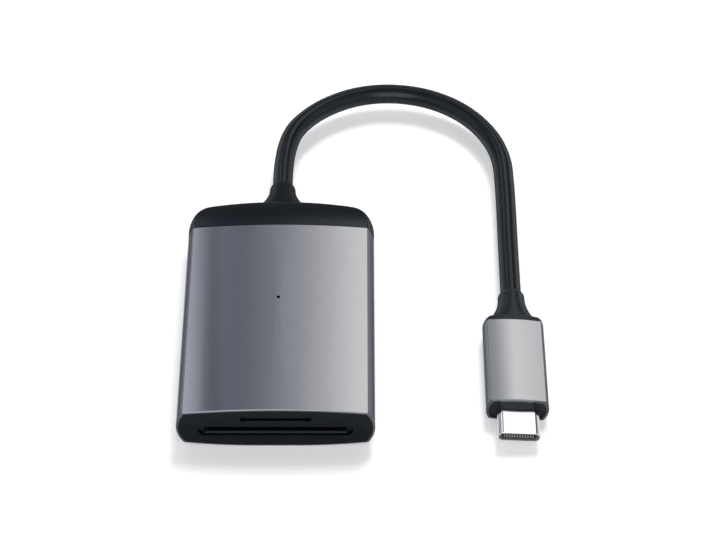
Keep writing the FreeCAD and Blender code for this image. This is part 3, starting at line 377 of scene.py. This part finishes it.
def softbox(name, direction, distance, size, radiance, turn=0.0):
    """Soft light that looks at the reader, as bright as its face, and turned about its own axis."""
    lamp = bpy.data.lights.new(name, "AREA")
    lamp.shape = "RECTANGLE"
    lamp.size = size[0]
    lamp.size_y = size[1]
    lamp.energy = radiance * math.pi * size[0] * size[1]
    stand = bpy.data.objects.new(name, lamp)
    bpy.context.collection.objects.link(stand)
    aim = Vector(direction).normalized()
    across = Vector((0.0, 1.0, 0.0)).cross(aim).normalized()
    stand.location = LIGHTS_AIM + aim * distance
    facing = Matrix((across, aim.cross(across), aim)).transposed()
    stand.rotation_euler = (facing @ Matrix.Rotation(turn, 3, "Z")).to_euler()
    return stand


def grade(stand, tones):
    """Give a soft light a colour that changes from its left side to its right."""
    stand.data.use_nodes = True
    tree = stand.data.node_tree
    face = add_node(tree, "ShaderNodeNewGeometry")
    face_axes = add_node(tree, "ShaderNodeSeparateXYZ")
    ramp = add_node(tree, "ShaderNodeValToRGB")
    steps = ramp.color_ramp.elements
    while len(steps) < len(tones):
        steps.new(0.5)
    for step, (place, colour) in zip(steps, tones):
        step.position = place
        step.color = colour + (1.0,)
    tree.links.new(face.outputs["Parametric"], face_axes.inputs["Vector"])
    tree.links.new(face_axes.outputs["X"], ramp.inputs["Fac"])
    tree.links.new(ramp.outputs["Color"], tree.nodes["Emission"].inputs["Color"])


rear_right = softbox("light_rear_right", direction=(0.13, 0.625, 0.770), distance=0.90, size=(0.60, 0.36),
                     radiance=2.38)
grade(rear_right, REAR_RIGHT_TONES)
rear_left = softbox("light_rear_left", direction=(-0.3638, 0.640, 0.6807), distance=0.90, size=(0.35, 0.36),
                    radiance=1.51, turn=math.radians(15.0))
grade(rear_left, REAR_LEFT_TONES)
overhead = softbox("light_overhead", direction=(0.13, 0.46, 0.88), distance=1.00, size=(0.26, 0.26),
                   radiance=21.0)
overhead.visible_glossy = False
front = softbox("light_front", direction=(0.0, -0.79, 0.61), distance=0.90, size=(0.60, 0.84), radiance=2.8)
front.visible_diffuse = False


# Floor: a sheet of plain white paper, matte and wide enough to fill the view. It glows a little where it is
# looked at, also in a mirror or through glass, so that it is white there and still keeps the shadow.
FLOOR_REACH = 3.0
PAPER_GLOW = 0.30
floor_form = bmesh.new()
bmesh.ops.create_grid(floor_form, x_segments=1, y_segments=1, size=FLOOR_REACH)
floor_mesh = bpy.data.meshes.new("floor")
floor_form.to_mesh(floor_mesh)
floor_form.free()
floor = bpy.data.objects.new("floor", floor_mesh)
bpy.context.collection.objects.link(floor)
paper = bpy.data.materials.new("white_paper")
paper.use_nodes = True
paper_tree = paper.node_tree
paper_shader = paper_tree.nodes["Principled BSDF"]
paper_shader.inputs["Base Color"].default_value = (0.88, 0.88, 0.88, 1.0)
paper_shader.inputs["Roughness"].default_value = 0.9
paper_shader.inputs["Specular IOR Level"].default_value = 0.0
paper_shader.inputs["Emission Color"].default_value = (1.0, 1.0, 1.0, 1.0)
paper_rays = add_node(paper_tree, "ShaderNodeLightPath")
seen = add_node(paper_tree, "ShaderNodeMath", operation="MAXIMUM")
seen_by_any = add_node(paper_tree, "ShaderNodeMath", operation="MAXIMUM")
glow = add_node(paper_tree, "ShaderNodeMath", operation="MULTIPLY", sockets={1: PAPER_GLOW})
paper_tree.links.new(paper_rays.outputs["Is Camera Ray"], seen.inputs[0])
paper_tree.links.new(paper_rays.outputs["Is Glossy Ray"], seen.inputs[1])
paper_tree.links.new(seen.outputs["Value"], seen_by_any.inputs[0])
paper_tree.links.new(paper_rays.outputs["Is Transmission Ray"], seen_by_any.inputs[1])
paper_tree.links.new(seen_by_any.outputs["Value"], glow.inputs[0])
paper_tree.links.new(glow.outputs["Value"], paper_shader.inputs["Emission Strength"])
floor_mesh.materials.append(paper)


# Room: plain walls that give the floor and the matte pieces an even light. In gloss they are dim behind the
# reader, paler above it and at the sides, and pale all round along the horizon.
DIM_WALL = 0.135
room = bpy.data.worlds.new("room")
bpy.context.scene.world = room
room.use_nodes = True
room_tree = room.node_tree
sky = room_tree.nodes["Background"]
sky.inputs["Color"].default_value = (0.95, 0.97, 1.0, 1.0)
outlook = add_node(room_tree, "ShaderNodeTexCoord")
room_axes = add_node(room_tree, "ShaderNodeSeparateXYZ")
room_tree.links.new(outlook.outputs["Generated"], room_axes.inputs["Vector"])
to_right = room_axes.outputs["X"]
to_rear = room_axes.outputs["Y"]
upward = room_axes.outputs["Z"]


def fade(place, start, stop, low, high):
    """Strength that goes from low to high as a place in the room goes from start to stop."""
    ramp = add_node(room_tree, "ShaderNodeMapRange",
                    sockets={"From Min": start, "From Max": stop, "To Min": low, "To Max": high})
    room_tree.links.new(place, ramp.inputs["Value"])
    return ramp.outputs["Result"]


def combine(operation, first, second, **settings):
    """Sum, product or the like of two strengths."""
    node = add_node(room_tree, "ShaderNodeMath", operation=operation, **settings)
    room_tree.links.new(first, node.inputs[0])
    room_tree.links.new(second, node.inputs[1])
    return node.outputs["Value"]


aside = combine("MULTIPLY", to_right, to_right)
sides_and_ceiling = fade(aside, start=0.09, stop=0.30, low=0.47, high=1.0)
not_behind = fade(to_rear, start=0.45, stop=0.10, low=0.0, high=1.0)
mirrored_walls = combine("MULTIPLY_ADD", sides_and_ceiling, not_behind, sockets={2: DIM_WALL})
lighting_walls = fade(to_rear, start=0.1, stop=-0.6, low=0.30, high=0.85)
room_rays = add_node(room_tree, "ShaderNodeLightPath")
walls = add_node(room_tree, "ShaderNodeMix", data_type="FLOAT")
room_tree.links.new(room_rays.outputs["Is Glossy Ray"], walls.inputs["Factor"])
room_tree.links.new(lighting_walls, walls.inputs["A"])
room_tree.links.new(mirrored_walls, walls.inputs["B"])
horizon = fade(upward, start=0.50, stop=0.24, low=0.0, high=1.0)
room_tree.links.new(combine("MAXIMUM", walls.outputs["Result"], horizon), sky.inputs["Strength"])


# Camera: a long lens in front of the reader that looks down on it, at the angle of the photograph, with the
# colours shown as they are.
lens = bpy.data.cameras.new("camera")
lens.lens = 119.9
lens.sensor_width = 36.0
camera = bpy.data.objects.new("camera", lens)
bpy.context.collection.objects.link(camera)
camera.location = (0.0157, -0.317875, 0.3570)
camera.rotation_euler = (math.radians(43.22), 0.0, 0.0)
bpy.context.scene.camera = camera
bpy.context.scene.view_settings.view_transform = "Standard"
